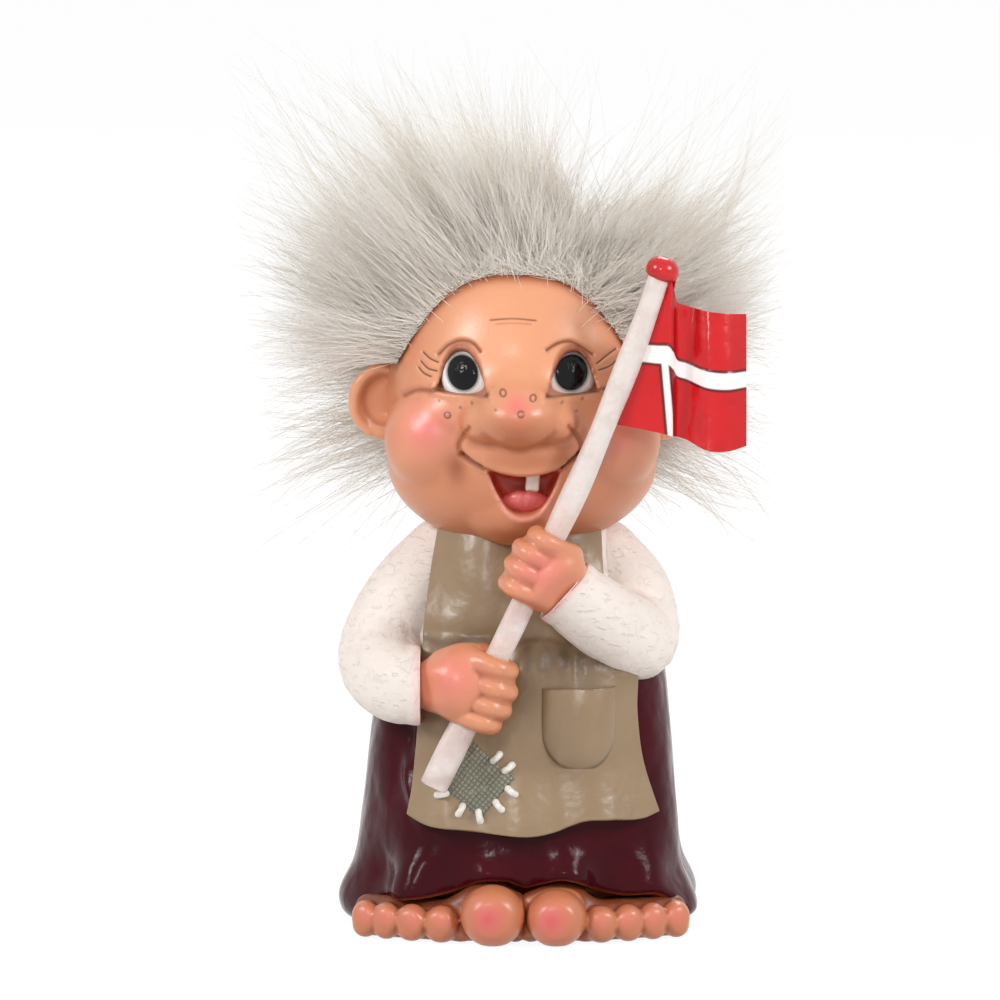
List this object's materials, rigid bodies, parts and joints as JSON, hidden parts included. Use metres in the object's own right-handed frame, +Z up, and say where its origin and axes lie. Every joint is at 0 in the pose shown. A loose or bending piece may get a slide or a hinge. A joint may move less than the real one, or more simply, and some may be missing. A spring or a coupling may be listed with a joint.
{
  "type": "troll figure with flag",
  "caption": "Laughing troll figure in blouse, apron and long skirt, with a wild fur wig, who holds a cross flag on a slanting staff in both fists; stands free as an ornament",
  "frame": {"origin": "on the table, in the middle of the base of the skirt", "axes": "+Z up the figure, the figure faces -Y, +X to the figure's own left, the side on which the flag flies"},
  "size_m": [0.0894, 0.0795, 0.1463],
  "materials": {
    "skin_paint": "cast resin, warm tan paint with a pink blush and a brown wash, satin varnish",
    "blouse_paint": "cast resin, off-white paint over a fine crackled surface",
    "apron_paint": "cast resin, taupe paint with a brown wash in the creases, glossy varnish",
    "patch_paint": "cast resin, grey-green paint with a woven relief",
    "stitch_paint": "cast resin, white paint",
    "skirt_paint": "cast resin, deep burgundy paint, high gloss varnish",
    "staff_paint": "cast resin, white paint with pinkish smudges",
    "flag_paint": "cast resin, bright red paint with a white cross, high gloss varnish",
    "eye_paint": "white paint with a glossy black iris",
    "tongue_paint": "pink paint, wet gloss",
    "tooth_paint": "white paint, gloss",
    "wig_hide": "backing of the long-haired fur, dull",
    "wig_fur": "long light-grey hair with near-white tips"
  },
  "bodies": {
    "root": {"skirt": "skirt_paint", "torso": "blouse_paint", "right_foot": "skin_paint", "left_foot": "skin_paint", "apron": "apron_paint", "apron_pocket": "apron_paint", "apron_patch": "patch_paint", "patch_stitches": "stitch_paint", "right_sleeve": "blouse_paint", "left_sleeve": "blouse_paint", "right_hand": "skin_paint", "left_hand": "skin_paint", "flag_staff": "staff_paint", "staff_knob": "flag_paint", "flag": "flag_paint", "head": "skin_paint", "right_ear": "skin_paint", "left_ear": "skin_paint", "right_eye": "eye_paint", "left_eye": "eye_paint", "tongue": "tongue_paint", "tooth": "tooth_paint", "wig_hide": "wig_hide", "wig_fur": "wig_fur"}
  },
  "joints": []
}
